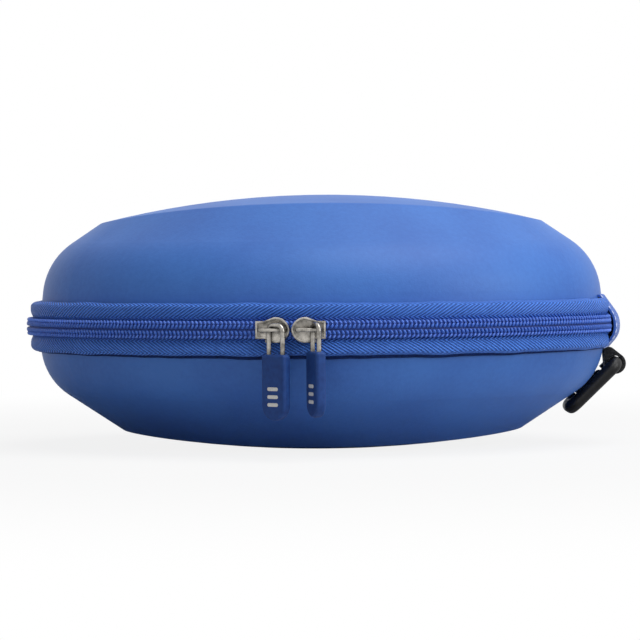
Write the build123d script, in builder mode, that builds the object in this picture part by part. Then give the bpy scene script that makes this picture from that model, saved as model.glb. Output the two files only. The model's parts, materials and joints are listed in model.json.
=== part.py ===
# Headphone case: two moulded foam halves under a blue skin, zipped round three sides, with a
# sewn hinge at the right end, two zip sliders with moulded pull tabs, and a small carabiner
# that hangs from a webbing loop.
# Millimetres. The origin is the middle of the flat that the case rests on. +Z is up, +X
# runs to the hinge, and the zip sliders are in front, on the -Y side.
from build123d import *
import os
from math import atan2, cos, degrees, hypot, radians, sin, sqrt, tan

os.makedirs("parts", exist_ok=True)

# Plan of the closed case: an oval of four arcs, taken on the outside of the zip chain
half_length = 106.0
half_width = 84.5
end_share = 0.7514
zip_height = 43.6

# Moulded halves: skin and foam wall, lining, and where their rims start
wall = 4.0
lining_thickness = 0.8
rim_inset = 4.7
rim_gap = 6.0
edge_rounding = 1.6
cut_overlap = 1.0

# Outside of the upper half, heights from the zip plane
upper_draft = 6.0
upper_knee_height = 23.2
upper_shoulder_radius = 24.0
upper_bevel = 34.0
upper_crest = 46.3
upper_dome_radius = 325.0

# Outside of the lower half, heights down from the zip plane
lower_draft = 3.0
lower_knee_height = 18.6
lower_shoulder_radius = 22.0
lower_bevel = 33.5
lower_dome_radius = 396.0
rest_flat_depth = 0.6

# Zip: coil rails with a groove between them, on a tape folded over a padded edge
groove = 0.8
coil_height = 2.6
coil_depth = 2.9
coil_groove_rounding = 0.9
coil_edge_rounding = 1.1
tape_thickness = 0.8
tape_hidden_edge = 0.6
pad_start = 3.6
pad_end = 8.6
pad_proud = 3.1
pad_rounding = 1.4
zip_gap_angle = 18.0

# Binding sewn round each rim on the inside
binding_thickness = 1.2
binding_clearance = 0.04
binding_depth = 2.6

# Sewn hinge patch over the right end
hinge_proud = 1.0
hinge_half_gap = 0.15
patch_side_gap = 0.2
upper_patch = {"height": 10.0, "edge": 1.0, "bulge": 1.9, "rounding": 2.4, "hem": 0.6}
lower_patch = {"height": 9.0, "edge": 2.0, "bulge": 4.2, "rounding": 2.4, "hem": 1.0}

# Mesh pocket in the lid
pocket_height = 8.0
pocket_edge_x = 12.0
net_thickness = 0.6
net_pitch = 6.4
net_hole = 3.7
net_border = 4.0
elastic_width = 8.0
elastic_thickness = 1.6
elastic_rounding = 0.55
pocket_clearance = 0.1

# Zip sliders, along the front arc, the angle from straight ahead, with a gap between their noses
right_slider_angle = -2.2
nose_gap = 0.546
slider_length = 11.4
slider_rear_height = 5.9
slider_height = 8.3
slider_waist_share = 0.24
slider_shoulder_share = 0.02
nose_fullness = 0.74
slider_clearance = 0.3
plate_thickness = 0.9
plate_rim_width = 0.7
plate_rim_height = 0.25
inner_plate_setback = 0.5
inner_plate_thickness = 0.8
post_thickness = 0.4
post_length = 2.6
post_from_nose = 1.2
flange_thickness = 0.9
flange_reach = 1.4
flange_length = 5.0
strap_axis_out = 4.0
strap_thickness = 0.85
strap_width = 1.2
strap_span = 8.9
strap_leg = 1.0
strap_rounding = 0.3

# Pull rings and moulded tabs
wire_radius = 0.8
ring_half_width = 3.0
ring_corner = 2.2
ring_in_tab = 3.5
tab_width = 10.2
tab_thickness = 3.6
tab_length = 21.8
tab_rounding = 1.0
left_pull = {"turn": -32.0, "along": 1.55, "out": 0.0, "top": 1.6, "drop": 8.1}
right_pull = {"turn": -67.0, "along": 2.55, "out": 1.3, "top": 1.9, "drop": 7.1}
inlay_bars = 3
inlay_pitch = 2.6
inlay_width = 1.2
inlay_length = 4.6
inlay_depth = 0.35
inlay_above_tip = 5.2

# Webbing loop and carabiner
loop_width = 9.0
webbing = 1.0
loop_seat = 0.1
loop_layers = 3
bar_inset = 0.9
bar_drop = 14.9
carabiner_lean = 46.0
carabiner_length = 27.0
carabiner_width = 19.5
carabiner_radius = 2.45
carabiner_corner = 3.0
bar_clearance = 0.3
gate_pivot_along = 6.8
gate_tip_along = 17.2
gate_gap = 0.3
gate_radius = 2.1
gate_slot = 1.6
tongue_thickness = 1.2
tongue_radius = 1.25
gate_pin_radius = 0.5
gate_pin_clearance = 0.06
gate_pin_setback = 0.12
tongue_bite = 0.02
spring_radius = 0.6
spring_bore_clearance = 0.2
spring_length = 4.5

# The oval's end arcs are a share of its half width, and the front and back arcs run on from them
end_radius = end_share * half_width
end_centre = half_length - end_radius
front_radius = (end_centre**2 + half_width**2 - end_radius**2) / (2 * (half_width - end_radius))
front_centre = front_radius - half_width
split_angle = degrees(atan2(end_centre, front_centre))
end_angle = 90.0 - split_angle
left_slider_angle = right_slider_angle - degrees((slider_length + nose_gap) / front_radius)

# Each stretch of the oval: arc centre, arc radius, first angle, swept angle
front_stretch = ((0, front_centre), front_radius, -90 - split_angle, 2 * split_angle)
back_stretch = ((0, -front_centre), front_radius, 90 - split_angle, 2 * split_angle)
left_stretch = ((-end_centre, 0), end_radius, 180 - end_angle, 2 * end_angle)
right_stretch = ((end_centre, 0), end_radius, -end_angle, 2 * end_angle)
right_front_stretch = ((end_centre, 0), end_radius, -end_angle, end_angle - zip_gap_angle)
right_back_stretch = ((end_centre, 0), end_radius, zip_gap_angle, end_angle - zip_gap_angle)
patch_half_angle = zip_gap_angle - degrees(patch_side_gap / end_radius)
patch_stretch = ((end_centre, 0), end_radius, -patch_half_angle, 2 * patch_half_angle)
whole_oval = [front_stretch, right_stretch, back_stretch, left_stretch]
zip_run = [right_front_stretch, front_stretch, left_stretch, back_stretch, right_back_stretch]

upper_form = {
    "side": 1,
    "draft": upper_draft,
    "knee": upper_knee_height,
    "shoulder": upper_shoulder_radius,
    "bevel": upper_bevel,
    "crest": upper_crest,
    "dome": upper_dome_radius,
}
lower_form = {
    "side": -1,
    "draft": lower_draft,
    "knee": lower_knee_height,
    "shoulder": lower_shoulder_radius,
    "bevel": lower_bevel,
    "crest": zip_height + rest_flat_depth,
    "dome": lower_dome_radius,
}


def wall_at(form, height, inset=0.0):
    """Step from the chain's outline to a half's outside, drawn in by inset, at one height."""
    draft = radians(form["draft"])
    return -rim_inset - height * tan(draft) - inset / cos(draft)


def radial_plane(centre, angle):
    """Upright plane through an arc's centre: its x runs outwards and its y is up from the zip."""
    out = radians(angle)
    return Plane(
        origin=(centre[0], centre[1], zip_height),
        x_dir=(cos(out), sin(out), 0),
        z_dir=(sin(out), -cos(out), 0),
    )


def follow_oval(section, stretches, side=1):
    """Turn a closed section of (step outwards, height, corner rounding) along the oval."""
    with BuildPart() as ring:
        for centre, radius, first, sweep_angle in stretches:
            with BuildSketch(radial_plane(centre, first)) as face:
                with BuildLine():
                    Polyline([(radius + out, side * height) for out, height, _ in section], close=True)
                make_face()
                for out, height, rounding in section:
                    if rounding:
                        corner = face.vertices().sort_by_distance((radius + out, side * height, 0))[0]
                        fillet(corner, rounding)
            revolve(axis=Axis((centre[0], centre[1], 0), (0, 0, 1)), revolution_arc=sweep_angle)
    return ring.part


def moulding(form, inset, rim):
    """Solid of one half, drawn in by inset: straight wall, shoulder and bevel under a shallow dome."""
    side = form["side"]
    draft = radians(form["draft"])
    bevel = radians(form["bevel"])
    knee_out = wall_at(form, form["knee"])
    wall_reach = knee_out * cos(draft) + form["knee"] * sin(draft) - inset
    bevel_reach = knee_out * sin(bevel) + form["knee"] * cos(bevel) - inset
    turn = cos(draft) * cos(bevel) - sin(draft) * sin(bevel)
    knee = (
        (wall_reach * cos(bevel) - bevel_reach * sin(draft)) / turn,
        (bevel_reach * cos(draft) - wall_reach * sin(bevel)) / turn,
    )
    cap = form["crest"] + cut_overlap
    cap_out = (bevel_reach - cap * cos(bevel)) / sin(bevel)
    with BuildPart() as solid:
        for centre, radius, first, sweep_angle in whole_oval:
            with BuildSketch(radial_plane(centre, first)) as face:
                with BuildLine():
                    Polyline(
                        (0, side * rim),
                        (radius + wall_at(form, rim, inset), side * rim),
                        (radius + knee[0], side * knee[1]),
                        (radius + cap_out, side * cap),
                        (0, side * cap),
                        close=True,
                    )
                make_face()
                corner = face.vertices().sort_by_distance((radius + knee[0], side * knee[1], 0))[0]
                fillet(corner, form["shoulder"] - inset)
            revolve(axis=Axis((centre[0], centre[1], 0), (0, 0, 1)), revolution_arc=sweep_angle)
        with Locations((0, 0, zip_height + side * (form["crest"] - form["dome"]))):
            Sphere(form["dome"] - inset, mode=Mode.INTERSECT)
        if inset < edge_rounding:
            dome = solid.faces().sort_by(Axis.Z)[-1 if side > 0 else 0]
            fillet(dome.outer_wire().edges(), edge_rounding - inset)
    return solid.part


def skin(form, outside, thickness):
    """Open shell of one half between two depths from its outside."""
    outer = moulding(form, outside, rim_gap)
    inner = moulding(form, outside + thickness, rim_gap - cut_overlap)
    with BuildPart() as half:
        add(outer)
        add(inner, mode=Mode.SUBTRACT)
        if form["side"] < 0:
            split(bisect_by=Plane.XY, keep=Keep.TOP)
    return half.part


def finish(part, label):
    """Label a finished piece and write it."""
    part.label = label
    export_step(part, f"parts/{label}.step")


# Zip tape: a thin strip behind the coil, then a padded fold against the shell's wall
def tape_section(form):
    behind = -coil_depth - tape_thickness
    rim = rim_gap - binding_thickness
    return [
        (behind, tape_hidden_edge, 0),
        (-coil_depth, tape_hidden_edge, 0),
        (-coil_depth, pad_start, 0),
        (pad_proud - rim_inset, pad_start, pad_rounding / 2),
        (pad_proud - rim_inset, pad_end, pad_rounding),
        (wall_at(form, pad_end), pad_end, 0),
        (wall_at(form, rim), rim, 0),
        (behind, rim, 0),
    ]


# Binding: a flat strip under the foam rim and a leg folded up inside the lining
def binding_section(form):
    low = rim_gap - binding_thickness
    deep = wall + lining_thickness + binding_clearance
    inner = deep + binding_thickness
    return [
        (wall_at(form, low), low, 0),
        (wall_at(form, rim_gap), rim_gap, 0),
        (wall_at(form, rim_gap, deep), rim_gap, 0),
        (wall_at(form, low + binding_depth, deep), low + binding_depth, 0),
        (wall_at(form, low + binding_depth, inner), low + binding_depth, 0),
        (wall_at(form, low, inner), low, 0),
    ]


coil_section = [
    (-coil_depth, groove / 2, 0),
    (0, groove / 2, coil_groove_rounding),
    (0, groove / 2 + coil_height, coil_edge_rounding),
    (-coil_depth, groove / 2 + coil_height, 0),
]


# Hinge patch: folded cloth that bulges out to the hinge line and lies down on the shell's wall
def patch_section(form, patch):
    behind = -coil_depth - tape_thickness
    rim = rim_gap - binding_thickness
    height = patch["height"]
    return [
        (behind, hinge_half_gap, 0),
        (hinge_proud, hinge_half_gap, 0),
        (hinge_proud, patch["bulge"], patch["rounding"]),
        (wall_at(form, height) + patch["edge"], height, patch["hem"]),
        (wall_at(form, height), height, 0),
        (wall_at(form, rim), rim, 0),
        (behind, rim, 0),
    ]


for name, form, patch in (("upper", upper_form, upper_patch), ("lower", lower_form, lower_patch)):
    side = form["side"]
    finish(skin(form, 0.0, wall), f"{name}_shell")
    finish(skin(form, wall, lining_thickness), f"{name}_lining")
    finish(follow_oval(binding_section(form), whole_oval, side), f"{name}_binding")
    finish(follow_oval(tape_section(form), zip_run, side), f"{name}_zip_tape")
    finish(follow_oval(coil_section, zip_run, side), f"{name}_zip_coil")
    finish(follow_oval(patch_section(form, patch), [patch_stretch], side), f"hinge_patch_{name}")


# Mesh pocket: a net across the hinge half of the lid, with an elastic along its open edge
def oval_outline(step):
    """Lines of the oval, stepped out from the chain's outline."""
    for centre, radius, first, sweep_angle in whole_oval:
        CenterArc((centre[0], centre[1], 0), radius + step, first, sweep_angle)


def inside_oval(x, y, step):
    """Whether a point lies within the oval, stepped out from the chain's outline."""
    if hypot(x, abs(y) + front_centre) > front_radius + step:
        return False
    if atan2(abs(x), abs(y) + front_centre) < radians(split_angle):
        return True
    return hypot(abs(x) - end_centre, y) <= end_radius + step


pocket_level = zip_height + pocket_height
pocket_outline = (
    wall_at(upper_form, pocket_height + elastic_thickness, wall + lining_thickness + binding_thickness)
    - pocket_clearance
)
net_columns = int((half_length - pocket_edge_x) / (net_pitch / 2)) + 1
net_rows = int(half_width / (net_pitch / 2)) + 1
net_holes = []
for column in range(1, net_columns):
    for row in range(-net_rows, net_rows + 1):
        x = pocket_edge_x + column * net_pitch / 2
        y = row * net_pitch / 2
        on_lattice = (column + row) % 2 == 0
        if on_lattice and x > pocket_edge_x + net_border and inside_oval(x, y, pocket_outline - net_border):
            net_holes.append((x, y))

with BuildPart() as mesh_pocket:
    with BuildSketch(Plane.XY.offset(pocket_level)):
        with BuildLine():
            oval_outline(pocket_outline)
        make_face()
        with Locations((pocket_edge_x + half_length, 0)):
            Rectangle(2 * half_length, 2 * half_width, mode=Mode.INTERSECT)
        with Locations(*net_holes):
            RegularPolygon(net_hole / sqrt(2), 4, rotation=0, mode=Mode.SUBTRACT)
    extrude(amount=net_thickness)
finish(mesh_pocket.part, "mesh_pocket")

with BuildPart() as pocket_elastic:
    with BuildSketch(Plane.XY.offset(pocket_level)):
        with BuildLine():
            oval_outline(pocket_outline)
        make_face()
        with Locations((pocket_edge_x - elastic_width / 2, 0)):
            Rectangle(elastic_width, 2 * half_width, mode=Mode.INTERSECT)
    extrude(amount=elastic_thickness)
    fillet(pocket_elastic.edges().filter_by(Axis.Y), elastic_rounding)
finish(pocket_elastic.part, "pocket_elastic")


# Zip sliders: each is one casting that rides the chain, with its nose towards the other's
def slider_plane(angle):
    """Plane against the chain at one place on the front arc: x along it, y up, z outwards."""
    along = radians(angle)
    out = (sin(along), -cos(along), 0)
    place = (out[0] * front_radius, front_centre + out[1] * front_radius, zip_height)
    return Plane(origin=place, x_dir=(cos(along), sin(along), 0), z_dir=out)


def slider_plate(plane, nose, thickness, margin=0.0):
    """Plate with a square rear, a waist and a broad rounded nose, drawn in by margin."""
    half = slider_length / 2 - margin
    rear = slider_rear_height / 2 - margin
    widest = slider_height / 2 - margin
    waist = -slider_length * slider_waist_share
    shoulder = slider_length * slider_shoulder_share
    with BuildPart() as plate:
        with BuildSketch(plane):
            with BuildLine():
                Line((-nose * half, -rear), (-nose * half, rear))
                for up in (1, -1):
                    Polyline((-nose * half, up * rear), (nose * waist, up * rear), (nose * shoulder, up * widest))
                    ThreePointArc(
                        (nose * shoulder, up * widest),
                        (nose * half * nose_fullness, up * widest * nose_fullness),
                        (nose * half, 0),
                    )
            make_face()
        extrude(amount=thickness)
    return plate.part


def slider(angle, nose):
    """One slider casting: two plates, the post between them, a flange and the strap."""
    face = slider_plane(angle)
    plate_top = slider_clearance + plate_thickness
    back = -coil_depth - tape_thickness - inner_plate_setback
    rail_edge = groove / 2 + coil_height
    top = strap_axis_out + strap_thickness / 2
    outer_plate = slider_plate(face.offset(slider_clearance), nose, plate_thickness + plate_rim_height)
    dish = slider_plate(face.offset(plate_top), nose, plate_rim_height + cut_overlap, plate_rim_width)
    inner_plate = slider_plate(face.offset(back - inner_plate_thickness), nose, inner_plate_thickness)
    across = Plane(origin=face.origin, x_dir=face.x_dir, z_dir=-face.y_dir)
    with BuildPart() as strap:
        with BuildSketch(across) as bridge:
            with Locations((0, (plate_top + top) / 2)):
                Rectangle(strap_span, top - plate_top)
            fillet(bridge.vertices().group_by(Axis.Y)[-1], strap_leg)
            with Locations((0, (plate_top + top) / 2 - strap_thickness)):
                Rectangle(strap_span - 2 * strap_leg, top - plate_top, mode=Mode.SUBTRACT)
        extrude(amount=strap_width / 2, both=True)
        fillet(strap.faces().filter_by(across).edges(), strap_rounding)
    with BuildPart() as casting:
        add(outer_plate)
        add(dish, mode=Mode.SUBTRACT)
        add(inner_plate)
        with BuildSketch(face.offset(back - inner_plate_thickness / 2)):
            with Locations((nose * (slider_length / 2 - post_from_nose - post_length / 2), 0)):
                Rectangle(post_length, post_thickness)
        extrude(amount=slider_clearance + plate_thickness / 2 + inner_plate_thickness / 2 - back)
        with BuildSketch(face.offset(slider_clearance + plate_thickness / 2)):
            with Locations((0, -rail_edge - slider_clearance - flange_thickness / 2)):
                Rectangle(flange_length, flange_thickness)
        extrude(amount=-flange_reach - plate_thickness / 2)
        add(strap.part)
    return casting.part


# Pulls: a wire ring through the strap, a moulded tab on its legs and an inlay in the tab
def pull_plane(angle, pull):
    """Plane of a pull: x across the tab, y up from the strap's axis, z out of the tab's face."""
    face = slider_plane(angle)
    origin = face.from_local_coords(Vector(pull["along"], 0, strap_axis_out + pull["out"]))
    turned = radians(angle + pull["turn"])
    return Plane(origin=origin, x_dir=(cos(turned), sin(turned), 0), z_dir=(sin(turned), -cos(turned), 0))


def pull_ring(plane, top, drop):
    """Wire bent into a flat-topped U, its legs running down into the tab."""
    foot = -drop - ring_in_tab
    with BuildPart() as ring:
        with BuildLine(plane) as wire:
            FilletPolyline(
                (-ring_half_width, foot),
                (-ring_half_width, top),
                (ring_half_width, top),
                (ring_half_width, foot),
                radius=ring_corner,
            )
        start = Plane(
            origin=plane.from_local_coords(Vector(-ring_half_width, foot, 0)),
            x_dir=plane.x_dir,
            z_dir=plane.y_dir,
        )
        with BuildSketch(start):
            Circle(wire_radius)
        sweep(path=wire.line)
    return ring.part


def tab_inlay(plane, drop):
    """Three short bars set flush in the tab's face, one above another."""
    middle = -drop - tab_length + inlay_above_tip + inlay_pitch * (inlay_bars - 1) / 2
    with BuildPart() as inlay:
        with BuildSketch(plane.offset(tab_thickness / 2)):
            with Locations((0, middle)):
                with GridLocations(0, inlay_pitch, 1, inlay_bars):
                    SlotOverall(inlay_length, inlay_width)
        extrude(amount=-inlay_depth)
    return inlay.part


def pull_tab(plane, drop, ring, inlay):
    """Moulded tab with a round tip, cut for the ring's legs and the inlay."""
    tip_radius = tab_width / 2
    with BuildPart() as tab:
        with BuildSketch(plane.offset(-tab_thickness / 2)):
            with BuildLine():
                Polyline(
                    (-tip_radius, tip_radius - drop - tab_length),
                    (-tip_radius, -drop),
                    (tip_radius, -drop),
                    (tip_radius, tip_radius - drop - tab_length),
                )
                ThreePointArc(
                    (tip_radius, tip_radius - drop - tab_length),
                    (0, -drop - tab_length),
                    (-tip_radius, tip_radius - drop - tab_length),
                )
            make_face()
        extrude(amount=tab_thickness)
        fillet(tab.edges(), tab_rounding)
        add(ring, mode=Mode.SUBTRACT)
        add(inlay, mode=Mode.SUBTRACT)
    return tab.part


for name, angle, nose, pull in (
    ("left", left_slider_angle, 1, left_pull),
    ("right", right_slider_angle, -1, right_pull),
):
    plane = pull_plane(angle, pull)
    ring = pull_ring(plane, pull["top"], pull["drop"])
    inlay = tab_inlay(plane, pull["drop"])
    finish(slider(angle, nose), f"{name}_slider")
    finish(pull_tab(plane, pull["drop"], ring, inlay), f"{name}_pull_tab")
    finish(ring, f"{name}_pull_ring")
    finish(inlay, f"{name}_tab_inlay")


# Webbing loop: sewn on under the hinge patch, round the carabiner's bar
bar_x = half_length - bar_inset
bar_level = zip_height - bar_drop
loop_inner = carabiner_radius + bar_clearance
loop_top = zip_height - lower_patch["height"] - loop_seat
loop_wall_x = half_length + wall_at(lower_form, lower_patch["height"])
with BuildPart() as hang_loop:
    with BuildSketch(Plane.XZ):
        with BuildLine():
            CenterArc((bar_x, bar_level), loop_inner + webbing, 0, 360)
            Line((loop_wall_x, loop_top), (loop_wall_x + loop_layers * webbing, loop_top))
        make_hull()
    extrude(amount=loop_width / 2, both=True)
    with BuildSketch(Plane.XZ):
        with Locations((bar_x, bar_level)):
            Circle(loop_inner)
    extrude(amount=loop_width / 2, both=True, mode=Mode.SUBTRACT)
finish(hang_loop.part, "hang_loop")

# Carabiner: its plane holds the bar, along Y, and the way down to its far end
lean = radians(carabiner_lean)
carabiner_plane = Plane(
    origin=(bar_x, 0, bar_level),
    x_dir=(0, 1, 0),
    z_dir=(-cos(lean), 0, sin(lean)),
)
limb = carabiner_width / 2 - carabiner_radius
far_end = carabiner_length - 2 * carabiner_radius
shoulder_along = gate_pivot_along - gate_radius - gate_gap

with BuildPart() as carabiner_frame:
    with BuildLine(carabiner_plane) as bent_rod:
        FilletPolyline(
            (limb, shoulder_along),
            (limb, 0),
            (-limb, 0),
            (-limb, far_end),
            (limb, far_end),
            (limb, gate_tip_along + gate_gap),
            radius=carabiner_corner,
        )
    rod_start = Plane(
        origin=carabiner_plane.from_local_coords(Vector(limb, shoulder_along, 0)),
        x_dir=carabiner_plane.x_dir,
        z_dir=-carabiner_plane.y_dir,
    )
    with BuildSketch(rod_start):
        Circle(carabiner_radius)
    sweep(path=bent_rod.line)
    with BuildSketch(carabiner_plane):
        with Locations((limb, (shoulder_along + gate_pivot_along) / 2)):
            Rectangle(2 * tongue_radius, gate_pivot_along - shoulder_along + tongue_bite)
        with Locations((limb, gate_pivot_along)):
            Circle(tongue_radius)
    extrude(amount=tongue_thickness / 2, both=True)
    with BuildSketch(carabiner_plane):
        with Locations((limb, gate_pivot_along)):
            Circle(gate_pin_radius)
    extrude(amount=carabiner_radius, both=True, mode=Mode.SUBTRACT)
finish(carabiner_frame.part, "carabiner_frame")

gate_axis_plane = Plane(
    origin=carabiner_plane.from_local_coords(Vector(limb, gate_pivot_along, 0)),
    x_dir=carabiner_plane.x_dir,
    z_dir=carabiner_plane.y_dir,
)
slot_depth = tongue_radius + gate_gap
with BuildPart() as carabiner_gate:
    with BuildSketch(gate_axis_plane):
        Circle(gate_radius)
    extrude(amount=gate_tip_along - gate_pivot_along)
    with Locations(gate_axis_plane.origin):
        Sphere(gate_radius)
    with BuildSketch(carabiner_plane):
        with Locations((limb, gate_pivot_along + slot_depth / 2 - gate_radius / 2)):
            Rectangle(2 * gate_radius + cut_overlap, slot_depth + gate_radius)
    extrude(amount=gate_slot / 2, both=True, mode=Mode.SUBTRACT)
    with BuildSketch(carabiner_plane):
        with Locations((limb, gate_pivot_along)):
            Circle(gate_pin_radius + gate_pin_clearance)
    extrude(amount=gate_radius, both=True, mode=Mode.SUBTRACT)
    with BuildSketch(gate_axis_plane):
        Circle(spring_radius + spring_bore_clearance)
    extrude(amount=slot_depth + spring_length, mode=Mode.SUBTRACT)
finish(carabiner_gate.part, "carabiner_gate")

with BuildPart() as gate_pin:
    with BuildSketch(carabiner_plane):
        with Locations((limb, gate_pivot_along)):
            Circle(gate_pin_radius)
    extrude(amount=gate_radius - gate_pin_setback, both=True)
finish(gate_pin.part, "gate_pin")

with BuildPart() as gate_spring:
    with BuildSketch(gate_axis_plane.offset(slot_depth - gate_gap + gate_pin_clearance)):
        Circle(spring_radius)
    extrude(amount=spring_length + gate_gap - gate_pin_clearance)
finish(gate_spring.part, "gate_spring")
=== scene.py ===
# %% [markdown]
# # A zipped headphone case
# This script dresses a finished construction model with its visible surfaces. The construction
# model is the frame: every measure below starts from it, in metres, and nothing in it is moved.

# %% Load the frame
import json
import math

import bpy
import numpy as np
from mathutils import Matrix, Vector

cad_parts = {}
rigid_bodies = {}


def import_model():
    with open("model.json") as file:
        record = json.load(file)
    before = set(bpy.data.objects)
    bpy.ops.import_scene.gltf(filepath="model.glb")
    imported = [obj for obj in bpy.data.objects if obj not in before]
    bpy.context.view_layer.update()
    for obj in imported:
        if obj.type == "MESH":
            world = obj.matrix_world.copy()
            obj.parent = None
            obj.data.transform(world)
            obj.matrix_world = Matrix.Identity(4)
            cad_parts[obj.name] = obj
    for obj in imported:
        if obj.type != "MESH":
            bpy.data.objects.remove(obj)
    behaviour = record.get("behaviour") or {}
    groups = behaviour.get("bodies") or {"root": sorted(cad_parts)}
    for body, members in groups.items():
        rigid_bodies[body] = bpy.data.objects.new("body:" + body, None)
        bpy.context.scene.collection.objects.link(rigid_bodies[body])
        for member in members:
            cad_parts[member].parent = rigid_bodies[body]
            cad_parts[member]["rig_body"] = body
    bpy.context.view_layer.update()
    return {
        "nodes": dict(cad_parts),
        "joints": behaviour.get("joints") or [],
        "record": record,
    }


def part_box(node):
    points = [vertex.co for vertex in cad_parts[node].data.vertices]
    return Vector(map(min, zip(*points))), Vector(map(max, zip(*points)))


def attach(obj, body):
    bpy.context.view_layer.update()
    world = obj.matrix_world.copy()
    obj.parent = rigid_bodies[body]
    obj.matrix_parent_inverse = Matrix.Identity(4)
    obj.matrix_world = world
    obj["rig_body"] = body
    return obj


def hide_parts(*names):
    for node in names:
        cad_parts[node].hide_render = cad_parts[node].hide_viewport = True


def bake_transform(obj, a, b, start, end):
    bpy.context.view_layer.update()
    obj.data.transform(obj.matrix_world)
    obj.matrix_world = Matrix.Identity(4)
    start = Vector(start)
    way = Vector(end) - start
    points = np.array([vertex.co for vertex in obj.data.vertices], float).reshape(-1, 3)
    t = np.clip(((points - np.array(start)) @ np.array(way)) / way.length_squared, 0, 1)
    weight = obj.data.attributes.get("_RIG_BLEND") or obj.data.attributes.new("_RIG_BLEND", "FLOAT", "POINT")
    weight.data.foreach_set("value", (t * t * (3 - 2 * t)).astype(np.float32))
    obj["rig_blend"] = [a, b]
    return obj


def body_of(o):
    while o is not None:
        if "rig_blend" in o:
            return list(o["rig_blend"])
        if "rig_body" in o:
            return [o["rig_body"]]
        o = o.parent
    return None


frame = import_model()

nodes = frame["nodes"]
joint_of = {joint["name"]: joint for joint in frame["joints"]}
MM = 0.001

# %% [markdown]
# The case is an oval made of four arcs, and everything that runs round it keeps to those arcs.
# The front and back arcs turn about the sliders' own axis, so the frame gives it. The length and
# width of the oval are read from the zip coil, which is its outermost run.

# %% The oval in plan
coil_low, coil_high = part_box("lower_zip_coil")
half_length = max(-coil_low[0], coil_high[0])
half_width = coil_high[1]
front_centre = joint_of["left_slider_travel"]["pos_m"][1]
zip_level = joint_of["lid_hinge"]["pos_m"][2]
front_radius = half_width + front_centre
overshoot = front_radius - half_length
end_centre = (front_centre**2 - overshoot**2) / (2 * overshoot)
end_radius = half_length - end_centre
split_angle = math.atan2(end_centre, front_centre)
end_angle = math.pi / 2 - split_angle

# The zip ends this far to each side of the hinge's middle, at the edges of the hinge cloth.
hinge_angle = math.radians(18.0)

# Each stretch: arc centre, radius, first angle, swept angle. The zip starts just behind the hinge
# cloth, runs anticlockwise seen from above, and ends just in front of the cloth.
front_arc = ((0, front_centre), front_radius, -math.pi / 2 - split_angle, 2 * split_angle)
back_arc = ((0, -front_centre), front_radius, math.pi / 2 - split_angle, 2 * split_angle)
left_arc = ((-end_centre, 0), end_radius, math.pi - end_angle, 2 * end_angle)
right_back_arc = ((end_centre, 0), end_radius, hinge_angle, end_angle - hinge_angle)
right_front_arc = ((end_centre, 0), end_radius, -end_angle, end_angle - hinge_angle)
right_whole_arc = ((end_centre, 0), end_radius, -end_angle, 2 * end_angle)
zip_run = [right_back_arc, back_arc, left_arc, front_arc, right_front_arc]
zip_length = sum(radius * sweep for _, radius, _, sweep in zip_run)
print("zip length in mm", round(zip_length / MM))


def along_zip(distance):
    """Place, outward direction and forward direction at a distance along the zip's outline."""
    for centre, radius, first, sweep in zip_run:
        if distance <= radius * sweep + 1e-9:
            angle = first + distance / radius
            out = Vector((math.cos(angle), math.sin(angle), 0))
            ahead = Vector((-math.sin(angle), math.cos(angle), 0))
            return Vector((centre[0], centre[1], 0)) + out * radius, out, ahead
        distance -= radius * sweep


# %% [markdown]
# The photograph was taken from almost level, with a long lens: the case is a metre or so away,
# and the front is a little nearer than the ends. The camera's height and roll are what put the
# zip where the photograph shows it.

# %% Camera


def add_object(name, data):
    """Put an object with its own data into the scene."""
    made = bpy.data.objects.new(name, data)
    bpy.context.scene.collection.objects.link(made)
    return made


camera_distance = 1.10
camera_data = bpy.data.cameras.new("camera")
camera_data.sensor_width = 36.0
camera_data.lens = 172.0
camera_data.clip_end = 50.0
camera = add_object("camera", camera_data)
look_at = Vector((-0.0007, 0.0, zip_level + 0.0013))
rise = math.radians(1.3)
roll = math.radians(-0.4)
camera.location = look_at + Vector((0, -math.cos(rise), math.sin(rise))) * camera_distance
aim = (look_at - camera.location).to_track_quat("-Z", "Y").to_matrix()
camera.rotation_euler = (aim @ Matrix.Rotation(roll, 3, "Z")).to_euler()
bpy.context.scene.camera = camera
bpy.context.scene.view_settings.view_transform = "Standard"

# %% [markdown]
# Colours are written as the hex values a painter would pick from a screen, and one function turns
# them into the linear values that shaders need. A second one adds a shader node with its settings
# and links, so each finish below reads as a short recipe.

# %% Colour and node helpers


def colour(code):
    """Linear RGBA from an sRGB hex value."""
    parts = [int(code[i : i + 2], 16) / 255 for i in (0, 2, 4)]
    return (*[c / 12.92 if c <= 0.04045 else ((c + 0.055) / 1.055) ** 2.4 for c in parts], 1.0)


def add_node(tree, kind, inputs=None, **settings):
    """Add a shader node, set its settings, and set or link its inputs."""
    made = tree.nodes.new(kind)
    for key, value in settings.items():
        setattr(made, key, value)
    for key, value in (inputs or {}).items():
        if isinstance(value, bpy.types.NodeSocket):
            tree.links.new(value, made.inputs[key])
        else:
            made.inputs[key].default_value = value
    return made


def start_finish(name, **values):
    """New material with these values on its Principled shader; returns it, its tree and shader."""
    material = bpy.data.materials.new(name)
    material.use_nodes = True
    shader = material.node_tree.nodes["Principled BSDF"]
    for key, value in values.items():
        shader.inputs[key.replace("_", " ")].default_value = value
    return material, material.node_tree, shader


def in_millimetres(tree, stretch=(1, 1, 1)):
    """Object coordinates in millimetres, each axis multiplied by stretch."""
    place = add_node(tree, "ShaderNodeTexCoord").outputs["Object"]
    scale = tuple(s / MM for s in stretch)
    mapped = add_node(tree, "ShaderNodeMapping", {"Vector": place, "Scale": scale})
    return mapped.outputs["Vector"]


def math_of(tree, operation, first, second=0.0, third=0.0):
    """Output of one math node."""
    made = add_node(tree, "ShaderNodeMath", {0: first, 1: second, 2: third}, operation=operation)
    return made.outputs[0]


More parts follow.
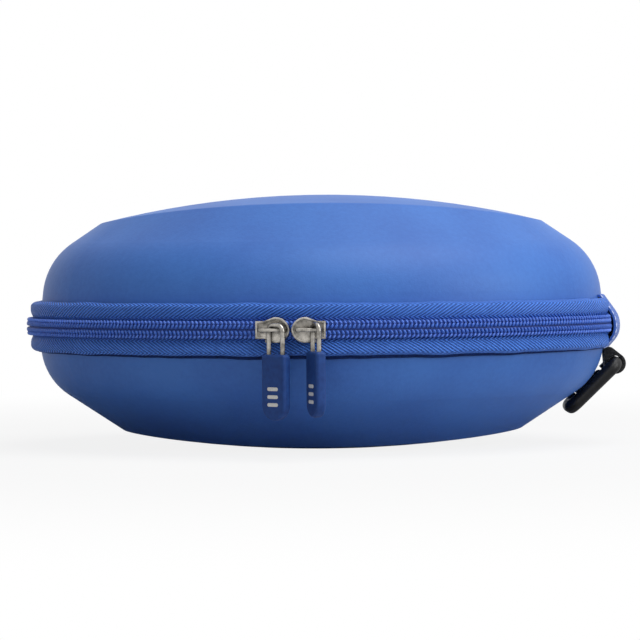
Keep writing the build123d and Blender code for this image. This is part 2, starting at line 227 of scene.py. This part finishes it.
def shade_between(tree, factor, stops):
    """Colour ramp from (position, hex colour) stops."""
    ramp = add_node(tree, "ShaderNodeValToRGB", {"Fac": factor})
    while len(ramp.color_ramp.elements) < len(stops):
        ramp.color_ramp.elements.new(0.5)
    for element, (position, code) in zip(ramp.color_ramp.elements, stops):
        element.position = position
        element.color = colour(code)
    return ramp.outputs["Color"]


def raise_surface(tree, shader, height, depth_mm, strength=1.0):
    """Drive the shader's normal by a height from 0 to 1 that stands for depth_mm."""
    values = {"Height": height, "Distance": depth_mm * MM, "Strength": strength}
    bump = add_node(tree, "ShaderNodeBump", values)
    tree.links.new(bump.outputs["Normal"], shader.inputs["Normal"])


# %% [markdown]
# ## The moulded skin
# The halves are pressed from foam sheet with a thin polyurethane skin. The press leaves the skin
# matte, with a very fine leather grain that shows only as softness in the highlight, and a slow
# waviness where the foam was stretched over the mould. Its blue is faintly uneven: a broad cloud
# with a fine mottle over it. Each noise's scale is one over its size in millimetres.

# %% Moulded skin


def refinish(node, finish):
    """Give a frame node its finish as it stands."""
    nodes[node].data.materials.clear()
    nodes[node].data.materials.append(finish)


cloud_size, mottle_size, grain_size, wave_size = 38, 1.6, 0.55, 26
mottle_share, wave_height = 0.42, 14.0
skin_finish, tree, shader = start_finish(
    "matte_polyurethane_skin",
    Roughness=0.5,
    Specular_IOR_Level=0.32,
    Sheen_Weight=0.02,
    Sheen_Roughness=0.45,
)
place = in_millimetres(tree)
cloudy, mottle, waves = [
    add_node(tree, "ShaderNodeTexNoise", {"Vector": place, "Scale": 1 / size, "Detail": detail})
    for size, detail in ((cloud_size, 3.0), (mottle_size, 4.0), (wave_size, 1.0))
]
grain = add_node(
    tree,
    "ShaderNodeTexVoronoi",
    {"Vector": place, "Scale": 1 / grain_size},
    feature="SMOOTH_F1",
)
patches = math_of(
    tree, "MULTIPLY_ADD", mottle.outputs["Fac"], mottle_share, cloudy.outputs["Fac"]
)
tone = shade_between(tree, patches, [(0.52, "3B69B8"), (0.9, "4376C5")])
slow = math_of(tree, "MULTIPLY", waves.outputs["Fac"], wave_height)
surface = math_of(tree, "ADD", grain.outputs["Distance"], slow)
raise_surface(tree, shader, surface, 0.05, strength=0.7)
tree.links.new(tone, shader.inputs["Base Color"])
refinish("upper_shell", skin_finish)
refinish("lower_shell", skin_finish)

# %% [markdown]
# ## Woven tape
# Zip tape is woven polyester. Its warp threads pass over and under in a herringbone, so it shows
# slanting ribs that turn back at steady heights. The ribs follow the tape, so the pattern reads
# the piece's own UV map, which holds real millimetres along and across the tape. The ribs are
# 1.75 mm apart, as the photograph shows them, and turn back where the tape folds over its edge.


# %% Woven tape finish
def herringbone(name, dark, light, rib_pitch, band, slant, depth):
    """Woven finish whose slanting ribs turn back once in every band."""
    worn_share, rib_share = 0.5, 0.72
    material, tree, shader = start_finish(
        name, Roughness=0.55, Specular_IOR_Level=0.25, Sheen_Weight=0.05, Sheen_Roughness=0.3
    )
    uv = add_node(tree, "ShaderNodeUVMap", uv_map="UVMap")
    apart = add_node(tree, "ShaderNodeSeparateXYZ", {"Vector": uv.outputs["UV"]})
    along, across = apart.outputs["X"], apart.outputs["Y"]
    folded = math_of(tree, "PINGPONG", across, band)
    travel = math_of(tree, "MULTIPLY_ADD", folded, slant, along)
    turns = math_of(tree, "MULTIPLY", travel, 2 * math.pi / rib_pitch)
    ribs = math_of(tree, "MULTIPLY_ADD", math_of(tree, "SINE", turns), 0.5, 0.5)
    place = in_millimetres(tree)
    worn = add_node(tree, "ShaderNodeTexNoise", {"Vector": place, "Scale": 0.9, "Detail": 5.0})
    shown = math_of(tree, "MULTIPLY", ribs, rib_share)
    woven = math_of(tree, "MULTIPLY_ADD", worn.outputs["Fac"], worn_share, shown)
    tone = shade_between(tree, woven, [(0.2, dark), (0.95, light)])
    tree.links.new(tone, shader.inputs["Base Color"])
    raise_surface(tree, shader, ribs, depth)
    return material


tape_finish = herringbone(
    "herringbone_polyester_tape",
    "21489F",
    "5793FA",
    rib_pitch=1.75,
    band=4.1,
    slant=1.7,
    depth=0.4,
)

# %% [markdown]
# ## Sections carried round the oval
# A length of tape is one section carried along the four arcs. The section starts as a circle of
# as many points as it needs, its points are moved to the section's own places, and the spin
# operator carries it round each arc in turn. Its UV map is then written from where each point
# lies, in millimetres. A sewn edge is never quite straight, so the part of a tape that lies away
# from the zip can wander up and down a little, by the sum of three waves along it.


# %% Carry a section round
# Each half: its name, its body, and the way from the zip to its shell, 1 for up.
HALVES = (("upper", "lid", 1), ("lower", "base", -1))
step_angle = math.radians(1.6)
# Each wave: millimetres along the zip for one radian, share and phase. The wander starts at the
# first distance from the zip, in millimetres, and has its whole size after the second.
wander_waves = ((7.3, 1.0, 0.0), (3.1, 0.6, 1.3), (17.0, 0.5, 0.0))
wander_from, wander_rise = 4.5, 3.0


def rounded(section, radius, steps=4):
    """Round the marked corners of a closed section of (out, up, round?) points, in millimetres."""
    side_share = 0.48  # so that two rounded corners have room on one side
    points = []
    count = len(section)
    for i, (out, up, share) in enumerate(section):
        here = Vector((out, up))
        if not share:
            points.append(here)
            continue
        before = Vector(section[i - 1][:2]) - here
        after = Vector(section[(i + 1) % count][:2]) - here
        reach = min(radius * share, before.length * side_share, after.length * side_share)
        start, end = here + before.normalized() * reach, here + after.normalized() * reach
        for step in range(steps + 1):
            t = step / steps
            points.append((1 - t) ** 2 * start + 2 * t * (1 - t) * here + t**2 * end)
    return points


def for_half(points, side):
    """A closed section as the lid has it (side 1), or upside down for the base (side -1)."""
    return [Vector((p.x, p.y * side)) for p in points]


def station(point, run=zip_run):
    """Distance along a run of arcs and step outwards from them, both in metres."""
    travelled, slack = 0.0, 1e-4
    for centre, radius, first, sweep in run:
        away = Vector((point[0] - centre[0], point[1] - centre[1]))
        turned = (math.atan2(away.y, away.x) - first + math.pi) % (2 * math.pi) - math.pi
        if -slack <= turned <= sweep + slack:
            return travelled + turned * radius, away.length - radius
        travelled += radius * sweep
    return travelled, 0.0


def carry_round(name, points, run=zip_run, wander=0.0):
    """Spin a closed section of (out, up) points along a run of arcs; all but the run is in mm."""
    bpy.ops.object.select_all(action="DESELECT")
    bpy.ops.mesh.primitive_circle_add(vertices=len(points), radius=0.01)
    piece = bpy.context.active_object
    piece.name = piece.data.name = name
    (centre, radius, first, _) = run[0]
    out = Vector((math.cos(first), math.sin(first), 0))
    place = Vector((*centre, zip_level)) + out * radius
    for vertex, point in zip(piece.data.vertices, points):
        vertex.co = place + out * point.x * MM + Vector((0, 0, point.y * MM))
    bpy.ops.object.mode_set(mode="EDIT")
    bpy.ops.mesh.select_all(action="SELECT")
    for centre, _, _, sweep in run:
        bpy.ops.mesh.spin(
            steps=max(3, round(sweep / step_angle)),
            angle=-sweep,
            center=(centre[0], centre[1], 0),
            axis=(0, 0, 1),
            use_auto_merge=False,
        )
    bpy.ops.mesh.select_all(action="SELECT")
    bpy.ops.mesh.remove_doubles(threshold=2e-6)
    bpy.ops.mesh.select_all(action="SELECT")
    bpy.ops.mesh.region_to_loop()
    if sum(sweep for _, _, _, sweep in run) < 2 * math.pi - 1e-3:
        bpy.ops.mesh.edge_face_add()
    bpy.ops.mesh.select_all(action="SELECT")
    bpy.ops.mesh.normals_make_consistent(inside=False)
    bpy.ops.object.mode_set(mode="OBJECT")
    write_tape_uv(piece, points, run)
    if wander:
        for vertex in piece.data.vertices:
            up = (vertex.co.z - zip_level) / MM
            along = station(vertex.co)[0] / MM
            share = max(0.0, min(1.0, (abs(up) - wander_from) / wander_rise))
            wave = sum(part * math.sin(along / size + shift) for size, part, shift in wander_waves)
            vertex.co.z += math.copysign(wave * wander * share * MM, up)
    bpy.ops.object.shade_smooth_by_angle(angle=math.radians(50))
    return piece


def write_tape_uv(piece, points, run):
    """UV in millimetres: u along the run, v round the section from its first point."""
    steps = [0.0]
    for i in range(1, len(points) + 1):
        steps.append(steps[-1] + (points[i % len(points)] - points[i - 1]).length)
    ring = np.array([(p.x, p.y) for p in points])
    layers = piece.data.uv_layers
    layer = layers[0] if layers else layers.new(name="UVMap")
    layer.name = "UVMap"
    spots = []
    for vertex in piece.data.vertices:
        travelled, out = station(vertex.co, run)
        spot = np.array((out / MM, (vertex.co.z - zip_level) / MM))
        spots.append((travelled / MM, int(np.argmin(((ring - spot) ** 2).sum(axis=1)))))
    for face in piece.data.polygons:
        numbers = [spots[piece.data.loops[k].vertex_index][1] for k in face.loop_indices]
        wraps = max(numbers) - min(numbers) > len(points) / 2
        for k in face.loop_indices:
            travelled, number = spots[piece.data.loops[k].vertex_index]
            across = steps[-1] if wraps and number == 0 else steps[number]
            layer.data[k].uv = (travelled, across)


def dress(piece, finish, body, slot, *replaced):
    """Give a piece its finish and say what it rides on and which nodes it stands for; slot is not used."""
    piece.data.materials.clear()
    piece.data.materials.append(finish)
    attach(piece, body)
    if replaced:
        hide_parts(*replaced)


# %% [markdown]
# ## The two tapes
# Each tape is sewn to the shell's rim and folded back on itself over a padded edge, so it stands
# out like piping and its far edge rolls down to the shell. The lower tape is the same section
# upside down.


# %% Tapes
pad_top = abs(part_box("upper_zip_tape")[1][2] - zip_level) / MM
tape_section = [
    (-3.6, 0.7, 0),
    (-2.95, 0.7, 0),
    (-2.95, 2.6, 0.4),
    (-2.2, 3.5, 0.5),
    (-1.55, 5.0, 1),
    (-1.5, 7.6, 1),
    (-3.0, pad_top + 0.1, 1),
    (-5.3, pad_top + 0.1, 0),
    (-4.9, 4.9, 0),
    (-3.6, 4.9, 0),
]
edge_wander = 0.19
for name, body, side in HALVES:
    points = for_half(rounded(tape_section, 1.6), side)
    tape = carry_round(f"{name}_tape_fold", points, wander=edge_wander)
    dress(tape, tape_finish, body, "zip_tape", f"{name}_zip_tape")
    print(tape.name, len(tape.data.polygons), "faces")

# %% [markdown]
# ## The coil
# A coil zip's teeth are one nylon thread wound into loops. From outside, each loop shows as a
# slanting bead with a rounded head where it locks between two loops of the other row, and behind
# the heads a chain of sewing thread holds the loops to the tape. One bead is shaped from a sphere,
# copied along the whole zip, and joined, with a plain core behind it.

# %% Zip thread finishes


def flecked(name, dark, light, scale, depth_mm, detail=2.0, high=0.7, stretch=(1, 1, 1), **values):
    """Finish of two close tones in a fleck with this many spots a millimetre, raised a little."""
    material, tree, shader = start_finish(name, **values)
    place = in_millimetres(tree, stretch)
    spots = {"Vector": place, "Scale": scale, "Detail": detail}
    fleck = add_node(tree, "ShaderNodeTexNoise", spots)
    tone = shade_between(tree, fleck.outputs["Fac"], [(0.3, dark), (high, light)])
    tree.links.new(tone, shader.inputs["Base Color"])
    raise_surface(tree, shader, fleck.outputs["Fac"], depth_mm)
    return material


def fine_fleck(name, dark, light, roughness, specular=0.5):
    """Fine flecked finish, with a fleck about as wide as a twisted thread; used for painted shade too."""
    values = {"Roughness": roughness, "Specular_IOR_Level": specular}
    return flecked(name, dark, light, scale=1.1, depth_mm=0.05, detail=3.0, **values)


tooth_finish = fine_fleck("nylon_coil_teeth", "2E59B8", "4072D4", 0.36)
stitch_finish = fine_fleck("polyester_sewing_thread", "3A66CC", "648EEC", 0.5)
core_finish = fine_fleck("dark_coil_core", "21408F", "294E9F", 0.6)


# %% Beads copied along the zip
tooth_pitch = 1.5 * MM


def make_bead(name, low, high, thick, head, slant, out_mm):
    """One bead: a sphere drawn out upright, leaning along the zip, thicker at its lower end."""
    bpy.ops.object.select_all(action="DESELECT")
    bpy.ops.mesh.primitive_uv_sphere_add(segments=8, ring_count=6, radius=1.0)
    bead = bpy.context.active_object
    bead.name = name
    middle, half = (low + high) / 2, (high - low) / 2
    for vertex in bead.data.vertices:
        x, y, z = vertex.co
        swell = thick * (1 + head * (1 - z) / 2)
        vertex.co = (x * swell + slant * z, y * swell + out_mm, middle + half * z)
        vertex.co *= MM
    return bead


def only_active(piece):
    """Deselect everything, then select one piece and make it active."""
    bpy.ops.object.select_all(action="DESELECT")
    piece.select_set(True)
    bpy.context.view_layer.objects.active = piece


def set_copies(template, name, frames):
    """One piece made of a bead at each (place, ahead, out, up) of frames."""
    local = np.array([v.co for v in template.data.vertices])
    faces = [tuple(p.vertices) for p in template.data.polygons]
    verts, polys = [], []
    for i, (place, ahead, out, up) in enumerate(frames):
        verts.extend((local @ np.array([ahead, out, up]) + np.array(place)).tolist())
        polys.extend([tuple(i * len(local) + k for k in face) for face in faces])
    data = bpy.data.meshes.new(name)
    data.from_pydata(verts, [], polys)
    data.update()
    piece = add_object(name, data)
    only_active(piece)
    bpy.ops.object.mode_set(mode="EDIT")
    bpy.ops.mesh.select_all(action="SELECT")
    bpy.ops.mesh.normals_make_consistent(inside=False)
    bpy.ops.object.mode_set(mode="OBJECT")
    bpy.ops.object.shade_smooth()
    print(name, len(frames), "copies")
    return piece


def copy_along(template, name, shift, side, finish, body):
    """Copies of a bead at every tooth of the zip; its x runs ahead, its y out and its z up."""
    frames = []
    for i in range(int(zip_length / tooth_pitch) - 1):
        place, out, ahead = along_zip((i + 0.5 + shift) * tooth_pitch)
        frames.append((place + Vector((0, 0, zip_level)), ahead, out, Vector((0, 0, side))))
    dress(set_copies(template, name, frames), finish, body, "zip_coil")


# %% Zip teeth and their stitching
core_section = [(-2.85, 0.03, 0), (-0.95, 0.03, 0.4), (-0.95, 2.8, 1), (-2.85, 2.8, 0)]
tooth = make_bead(
    "tooth_bead", low=0.24, high=1.85, thick=0.5, head=0.25, slant=0.3, out_mm=-0.6
)
stitch = make_bead(
    "chain_stitch", low=1.75, high=3.05, thick=0.48, head=0.0, slant=-0.32, out_mm=-0.72
)
# The lower row's teeth stand half a pitch on, between those of the upper row.
for (name, body, side), shift in zip(HALVES, (0.0, 0.5)):
    core = carry_round(f"{name}_coil_core", for_half(rounded(core_section, 0.5, 2), side))
    dress(core, core_finish, body, "zip_coil", f"{name}_zip_coil")
    copy_along(tooth, f"{name}_coil_teeth", shift, side, tooth_finish, body)
    copy_along(stitch, f"{name}_coil_stitches", shift, side, stitch_finish, body)
bpy.data.objects.remove(tooth)
bpy.data.objects.remove(stitch)

# %% [markdown]
# The lower tape stands off the shell with a deep, narrow crease under its edge. The shade in that
# crease is painted: a thin dark strip carried round the shell. It is widest in the middle of the
# front and back, where the foam bulges away from the tape, and narrows towards the two ends.

# %% Painted shade in the crease
# Painted shade: a dark strip, in the fine fleck of a thread, stands for the shadow in the crease.
crease_shade_finish = fine_fleck("painted_crease_shade", "0E1C42", "172F66", 0.8, specular=0.1)
crease_level = -pad_top - 0.1
most_narrowed = 0.75
crease_shade_section = [
    (-5.6, crease_level + 0.5, 0),
    (-3.5, crease_level + 0.4, 0),
    (-3.9, crease_level - 0.9, 1),
    (-5.6, crease_level - 1.2, 0),
]
crease_shade = carry_round("lower_crease_shade", rounded(crease_shade_section, 0.5, 3), wander=edge_wander)
# The strip of painted shade is pulled up towards the two ends, so it narrows there.
for vertex in crease_shade.data.vertices:
    below = zip_level + crease_level * MM - vertex.co.z
    if below > 0:
        narrowed = most_narrowed * min(1.0, (vertex.co.x / half_length) ** 2)
        vertex.co.z += below * narrowed
dress(crease_shade, crease_shade_finish, "base", "zip_tape")

# %% [markdown]
# ## Metal, silicone and the rest
# The sliders and their rings are zinc castings and wire, plated with nickel and tumbled to a
# satin of uneven tone; their recesses are darkened with painted shade. The tabs are moulded
# silicone, matte and faintly dusty, and the carabiner is zinc under black enamel, with its gate
# on a bright steel pin.

# %% Nickel, silicone and enamel
# Painted shade in the recesses: how far the ambient occlusion reaches and how hard it darkens.
shade_reach, shade_contrast = 1.2 * MM, 1.6
gloss_spread, gloss_least = 0.25, 0.16
nickel_finish, tree, shader = start_finish("satin_nickel_plate", Metallic=1.0)
place = in_millimetres(tree)
tumbled = add_node(tree, "ShaderNodeTexNoise", {"Vector": place, "Scale": 0.55, "Detail": 6.0})
tone = shade_between(tree, tumbled.outputs["Fac"], [(0.3, "716E69"), (0.7, "B4B0A9")])
gloss = math_of(tree, "MULTIPLY_ADD", tumbled.outputs["Fac"], gloss_spread, gloss_least)
# Painted shade: the base colour goes from the tumbled tone to 3A3833 wherever the ambient occlusion finds a
# recess.
recess_shade = add_node(tree, "ShaderNodeAmbientOcclusion", {"Distance": shade_reach}, samples=8)
unshaded_share = math_of(tree, "POWER", recess_shade.outputs["AO"], shade_contrast)
recess_shaded_tone = add_node(
    tree,
    "ShaderNodeMix",
    {"Factor": unshaded_share, 6: colour("3A3833"), 7: tone},
    data_type="RGBA",
)
tree.links.new(recess_shaded_tone.outputs[2], shader.inputs["Base Color"])
tree.links.new(gloss, shader.inputs["Roughness"])
raise_surface(tree, shader, tumbled.outputs["Fac"], 0.05)

silicone_finish = flecked(
    "matte_navy_silicone",
    "1B3A78",
    "23498B",
    scale=0.5,
    depth_mm=0.04,
    detail=6.0,
    high=0.75,
    Roughness=0.55,
    Specular_IOR_Level=0.25,
)
inlay_finish = flecked(
    "white_printed_inlay", "DCDAD4", "ECEAE6", scale=2.0, depth_mm=0.02, Roughness=0.5
)
enamel_finish = flecked(
    "black_enamelled_zinc",
    "0B0B0C",
    "151517",
    scale=0.7,
    depth_mm=0.06,
    Roughness=0.4,
    Specular_IOR_Level=0.3,
)
steel_finish = flecked(
    "bright_drawn_steel",
    "8E8E90",
    "B4B4B6",
    scale=1.0,
    depth_mm=0.02,
    stretch=(1, 1, 8),
    Metallic=1.0,
    Roughness=0.25,
)

# %% [markdown]
# The construction model's own sliders, rings, tabs and carabiner already have their true shapes.
# The sliders get a small worn edge: a copy of each is merged, bevelled and smoothed, and stands
# in for its node. The rest only take their finishes.


# %% Softened copies of the castings
def softened(node, finish, width_mm):
    """Copy of a frame node with its sharp edges bevelled, standing in for the node."""
    source = nodes[node]
    piece = add_object(f"{node}_finished", source.data.copy())
    only_active(piece)
    bpy.ops.object.mode_set(mode="EDIT")
    bpy.ops.mesh.select_all(action="SELECT")
    bpy.ops.mesh.remove_doubles(threshold=1e-6)
    bpy.ops.mesh.dissolve_limited(angle_limit=math.radians(2))
    bpy.ops.object.mode_set(mode="OBJECT")
    bevel = piece.modifiers.new("worn_edges", "BEVEL")
    bevel.width = width_mm * MM
    bevel.segments = 2
    bevel.limit_method = "ANGLE"
    bevel.angle_limit = math.radians(28)
    bpy.ops.object.modifier_apply(modifier=bevel.name)
    bpy.ops.object.shade_smooth_by_angle(angle=math.radians(35))
    body = body_of(source)[0]
    slots = {row["node"]: row["material_slot"] for row in frame["record"]["subparts"]}
    dress(piece, finish, body, slots[node], node)
    return piece


for name in ("left", "right"):
    softened(f"{name}_slider", nickel_finish, width_mm=0.12)
    refinish(f"{name}_pull_ring", nickel_finish)
    refinish(f"{name}_pull_tab", silicone_finish)
    refinish(f"{name}_tab_inlay", inlay_finish)
refinish("carabiner_frame", enamel_finish)
refinish("carabiner_gate", enamel_finish)
refinish("gate_pin", steel_finish)
refinish("gate_spring", steel_finish)

# %% [markdown]
# ## Cloth inside and at the hinge
# The lining is a brushed knit, the binding and the elastic are woven, and the hinge patch is a
# close plain weave. At this distance a weave is a fine check: two sets of ribs at right angles.


# %% Cloth finishes
def plain_weave(name, dark, light, pitch, depth, stretch=(1, 1, 1)):
    """Plain woven finish: two crossed sets of threads on the object's own millimetres."""
    material, tree, shader = start_finish(
        name, Roughness=0.75, Specular_IOR_Level=0.3, Sheen_Weight=0.3, Sheen_Roughness=0.5
    )
    place = in_millimetres(tree, stretch)
    apart = add_node(tree, "ShaderNodeSeparateXYZ", {"Vector": place})
    threads = []
    for axis in ("X", "Y", "Z"):
        turns = math_of(tree, "MULTIPLY", apart.outputs[axis], 2 * math.pi / pitch)
        threads.append(math_of(tree, "SINE", turns))
    first = math_of(tree, "MULTIPLY", threads[0], threads[1])
    both = math_of(tree, "MULTIPLY_ADD", threads[2], 0.7, first)
    # The crossed threads lie between -1.7 and 1.7, and their height between 0 and 1.
    raised = math_of(tree, "MULTIPLY_ADD", both, 0.3, 0.5)
    patchy = add_node(tree, "ShaderNodeTexNoise", {"Vector": place, "Scale": 0.25, "Detail": 5.0})
    halved = math_of(tree, "MULTIPLY", raised, 0.5)
    mixed = math_of(tree, "MULTIPLY_ADD", patchy.outputs["Fac"], 0.5, halved)
    tone = shade_between(tree, mixed, [(0.2, dark), (0.8, light)])
    tree.links.new(tone, shader.inputs["Base Color"])
    raise_surface(tree, shader, raised, depth)
    return material


lining_finish = plain_weave("brushed_knit_lining", "14151A", "24262E", 0.9, 0.1)
binding_finish = plain_weave("woven_binding", "1C3578", "2A4E9E", 0.8, 0.12)
hinge_finish = plain_weave("close_woven_hinge_cloth", "2C56AC", "3E70CC", 0.7, 0.08)
webbing_finish = plain_weave("black_nylon_webbing", "0A0A0B", "1C1C1F", 1.3, 0.25)
net_finish = plain_weave("knitted_net", "0C0C0E", "1A1A1E", 0.6, 0.08)
elastic_finish = plain_weave("ribbed_elastic", "101013", "232328", 1.0, 0.15, (1, 0.2, 1))
for name in ("upper", "lower"):
    refinish(f"{name}_lining", lining_finish)

# %% [markdown]
# The hinge is one piece of cloth, folded under at its edges, that lies down on both halves and
# bulges out between them. Its outer face passes through the hinge's axis, so that it only bends
# there when the lid opens. It follows the lower half below the zip and the lid above it.

# %% Hinge cloth
patch_half_angle = hinge_angle - math.radians(0.2)
hinge_run = [((end_centre, 0), end_radius, -patch_half_angle, 2 * patch_half_angle)]
hinge_outside = [
    (-5.6, 10.0, 0),
    (-4.7, 9.95, 0.6),
    (0.98, 2.0, 1),
    (0.98, -4.1, 1),
    (-3.2, -8.95, 0.7),
    (-5.1, -9.0, 0),
]
hinge_inside = [
    (-5.1, -8.3, 0),
    (-3.6, -8.2, 0.6),
    (0.2, -3.8, 0.8),
    (0.2, 1.8, 0.8),
    (-5.0, 9.2, 0.6),
    (-5.6, 9.3, 0),
]
hinge_cloth = carry_round("hinge_cloth", rounded(hinge_outside + hinge_inside, 3.0), hinge_run)
hinge_cloth.data.materials.append(hinge_finish)
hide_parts("hinge_patch_upper", "hinge_patch_lower")
bend_reach = 2.5 * MM
bend_from, bend_to = [
    (half_length + MM, 0, zip_level + step) for step in (-bend_reach, bend_reach)
]
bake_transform(hinge_cloth, "base", "lid", start=bend_from, end=bend_to)
hinge_line = rounded(hinge_outside, 3.0)
hinge_reach = sum((b - a).length for a, b in zip(hinge_line, hinge_line[1:]))
print("hinge cloth in mm", round(hinge_reach, 1), round(2 * patch_half_angle * end_radius / MM, 1))

# %% [markdown]
# The tapes don't stop at the cloth. Their flat ends are tucked under it and sewn in.

# %% Tape ends under the hinge cloth
tuck = math.radians(3.0)
tail_section = [
    (-3.6, 0.03, 0),
    (-1.0, 0.03, 0.5),
    (-1.0, 2.0, 0.5),
    (-2.7, 4.8, 0.5),
    (-3.6, 4.8, 0),
]
for name, body, side in HALVES:
    points = for_half(rounded(tail_section, 0.6), side)
    for end, first in (("front", -hinge_angle), ("back", hinge_angle - tuck)):
        tucked = [((end_centre, 0), end_radius, first, tuck)]
        tail = carry_round(f"{name}_tape_end_{end}", points, tucked)
        dress(tail, tape_finish, body, "zip_tape")

# %% [markdown]
# Both ends of the cloth are whip-stitched to the tapes. Each stitch is a short pale thread that
# lies on the cloth's outer line.

# %% Hinge stitching
whip_finish = fine_fleck("pale_whip_stitch", "A9BCEB", "DDE5FA", 0.5)
stitch = make_bead(
    "whip_stitch", low=-0.85, high=0.85, thick=0.34, head=0.0, slant=0.25, out_mm=0.14
)
from_edge, first_at, last_margin, whip_pitch = 0.9, 1.6, 1.2, 2.3
frames = []
for side in (-1, 1):
    angle = side * (patch_half_angle - from_edge * MM / end_radius)
    out = Vector((math.cos(angle), math.sin(angle), 0))
    ahead = Vector((-math.sin(angle), math.cos(angle), 0))
    walked, due = 0.0, first_at
    for start, end in zip(hinge_line, hinge_line[1:]):
        length = (end - start).length
        while due < walked + length and due < hinge_reach - last_margin:
            spot = start.lerp(end, (due - walked) / length)
            up = (out * (start.x - end.x) + Vector((0, 0, start.y - end.y))).normalized()
            place = Vector((end_centre, 0, zip_level)) + out * (end_radius + spot.x * MM)
            frames.append((place + Vector((0, 0, spot.y * MM)), ahead, ahead.cross(up) * -1, up))
            due += whip_pitch
        walked += length
whip_stitches = set_copies(stitch, "hinge_stitches", frames)
whip_stitches.data.materials.append(whip_finish)
bpy.data.objects.remove(stitch)
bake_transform(whip_stitches, "base", "lid", start=bend_from, end=bend_to)

# %% [markdown]
# A binding hides each rim on the inside: one woven tape, carried round the whole oval.

# %% Bindings
whole_run = [right_whole_arc, back_arc, left_arc, front_arc]


def binding_line(draft):
    """Corners of one binding for a half whose wall leans in by draft degrees."""
    lean = math.radians(draft)
    rim = -4.7
    corners = [(4.8, 0, 0.5), (6, 0, 0), (6, 4.84, 0), (7.4, 4.84, 0.4), (7.4, 6, 1), (4.8, 6, 1)]
    return [
        (rim - up * math.tan(lean) - deep / math.cos(lean), up, share)
        for up, deep, share in corners
    ]


for (name, body, side), draft in zip(HALVES, (6.0, 3.0)):
    points = for_half(rounded(binding_line(draft), 0.5, 3), side)
    binding = carry_round(f"{name}_binding_tape", points, whole_run)
    dress(binding, binding_finish, body, "binding", f"{name}_binding")

# %% [markdown]
# The lid's pocket is a net that sags a little under its own stretch, with a ribbed elastic along
# its open edge. The carabiner's loop is webbing, cut soft at its edges.


# %% Pocket and webbing loop
def sagging(piece, middle, reach, depth_mm):
    """Lower a piece by depth_mm in the middle and not at all at its reach, in metres."""
    for vertex in piece.data.vertices:
        x = (vertex.co.x - middle[0]) / reach[0]
        y = (vertex.co.y - middle[1]) / reach[1]
        vertex.co.z -= depth_mm * MM * max(0.0, 1 - x * x) * max(0.0, 1 - y * y)


net_low, net_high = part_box("mesh_pocket")
net_middle = (net_low + net_high) / 2
net_reach = (net_high - net_low) / 2
net = softened("mesh_pocket", net_finish, width_mm=0.08)
sagging(net, net_middle, net_reach, depth_mm=0.8)
elastic = softened("pocket_elastic", elastic_finish, width_mm=0.15)
softened("hang_loop", webbing_finish, width_mm=0.2)

# %% [markdown]
# ## Floor and light
# The case stands on white paper. The white of the surround is a colour that only the camera,
# reflections and glass see, so it adds no light to the case. The floor is drawn mostly in that
# same white, and the rest of it takes the case's shadow. Away from the case it goes over to plain
# white, so that its far edge doesn't show.

# %% Floor


def white_rays(tree):
    """1 for the rays that see the surround: from the camera, from reflections and through glass."""
    path = add_node(tree, "ShaderNodeLightPath")
    seen = math_of(tree, "MAXIMUM", path.outputs["Is Camera Ray"], path.outputs["Is Glossy Ray"])
    return math_of(tree, "MAXIMUM", seen, path.outputs["Is Transmission Ray"])


floor_side, fade_from, fade_to = 1.1, 0.15, 0.45
near_white = 0.86
bpy.ops.object.select_all(action="DESELECT")
bpy.ops.mesh.primitive_plane_add(size=floor_side, location=(0, 0, 0))
floor = bpy.context.active_object
floor.name = "floor"
floor_finish, tree, shader = start_finish(
    "pale_paper_floor", Base_Color=colour("D2D2D2"), Roughness=0.9, Specular_IOR_Level=0.1
)
paper = add_node(tree, "ShaderNodeEmission", {"Color": colour("FFFFFF"), "Strength": 1.0})
place = add_node(tree, "ShaderNodeTexCoord")
away = add_node(tree, "ShaderNodeVectorMath", {0: place.outputs["Object"]}, operation="LENGTH")
reach = add_node(
    tree,
    "ShaderNodeMapRange",
    {"Value": away.outputs["Value"], "From Min": fade_from, "From Max": fade_to},
    interpolation_type="SMOOTHSTEP",
)
path = add_node(tree, "ShaderNodeLightPath")
drawn = math_of(tree, "MULTIPLY_ADD", reach.outputs["Result"], 1 - near_white, near_white)
near_share = math_of(tree, "MULTIPLY", path.outputs["Is Camera Ray"], drawn)
far_share = math_of(tree, "MULTIPLY", white_rays(tree), reach.outputs["Result"])
share = math_of(tree, "MAXIMUM", near_share, far_share)
mixed = {0: share, 1: shader.outputs[0], 2: paper.outputs[0]}
blended = add_node(tree, "ShaderNodeMixShader", mixed)
tree.links.new(blended.outputs[0], tree.nodes["Material Output"].inputs["Surface"])
floor.data.materials.append(floor_finish)

# %% [markdown]
# Three broad soft lamps light the case: one above and to the right, one low on the right and a
# weak one in front. Their size is what makes the highlights soft, and the surround fills the
# shadows with a faint cool light.

# %% Lamps


def soft_lamp(name, place, aim_at, size, power):
    """Rectangular area lamp aimed at a point, with its power in watts."""
    data = bpy.data.lights.new(name, "AREA")
    data.shape = "RECTANGLE"
    data.size, data.size_y = size
    data.energy = power
    lamp = add_object(name, data)
    lamp.location = place
    lamp.rotation_euler = (Vector(aim_at) - Vector(place)).to_track_quat("-Z", "Y").to_euler()


case_middle = Vector((0, 0, 0.045))
soft_lamp("top_lamp", (0.4, -0.3, 1.2), case_middle, size=(1.2, 1.0), power=14.0)
soft_lamp("right_lamp", (1.35, -0.7, 0.6), case_middle, size=(0.7, 0.7), power=9.0)
soft_lamp("front_lamp", (-0.3, -1.5, 0.6), case_middle, size=(0.8, 0.5), power=1.5)

# %% Surround
world = bpy.data.worlds.new("surround")
bpy.context.scene.world = world
world.use_nodes = True
tree = world.node_tree
tree.nodes.clear()
fill_light = add_node(tree, "ShaderNodeBackground", {"Color": colour("F2F5FA"), "Strength": 0.135})
white = add_node(tree, "ShaderNodeBackground", {"Color": colour("FFFFFF"), "Strength": 1.0})
seen = {0: white_rays(tree), 1: fill_light.outputs[0], 2: white.outputs[0]}
both = add_node(tree, "ShaderNodeMixShader", seen)
add_node(tree, "ShaderNodeOutputWorld", {"Surface": both.outputs[0]})
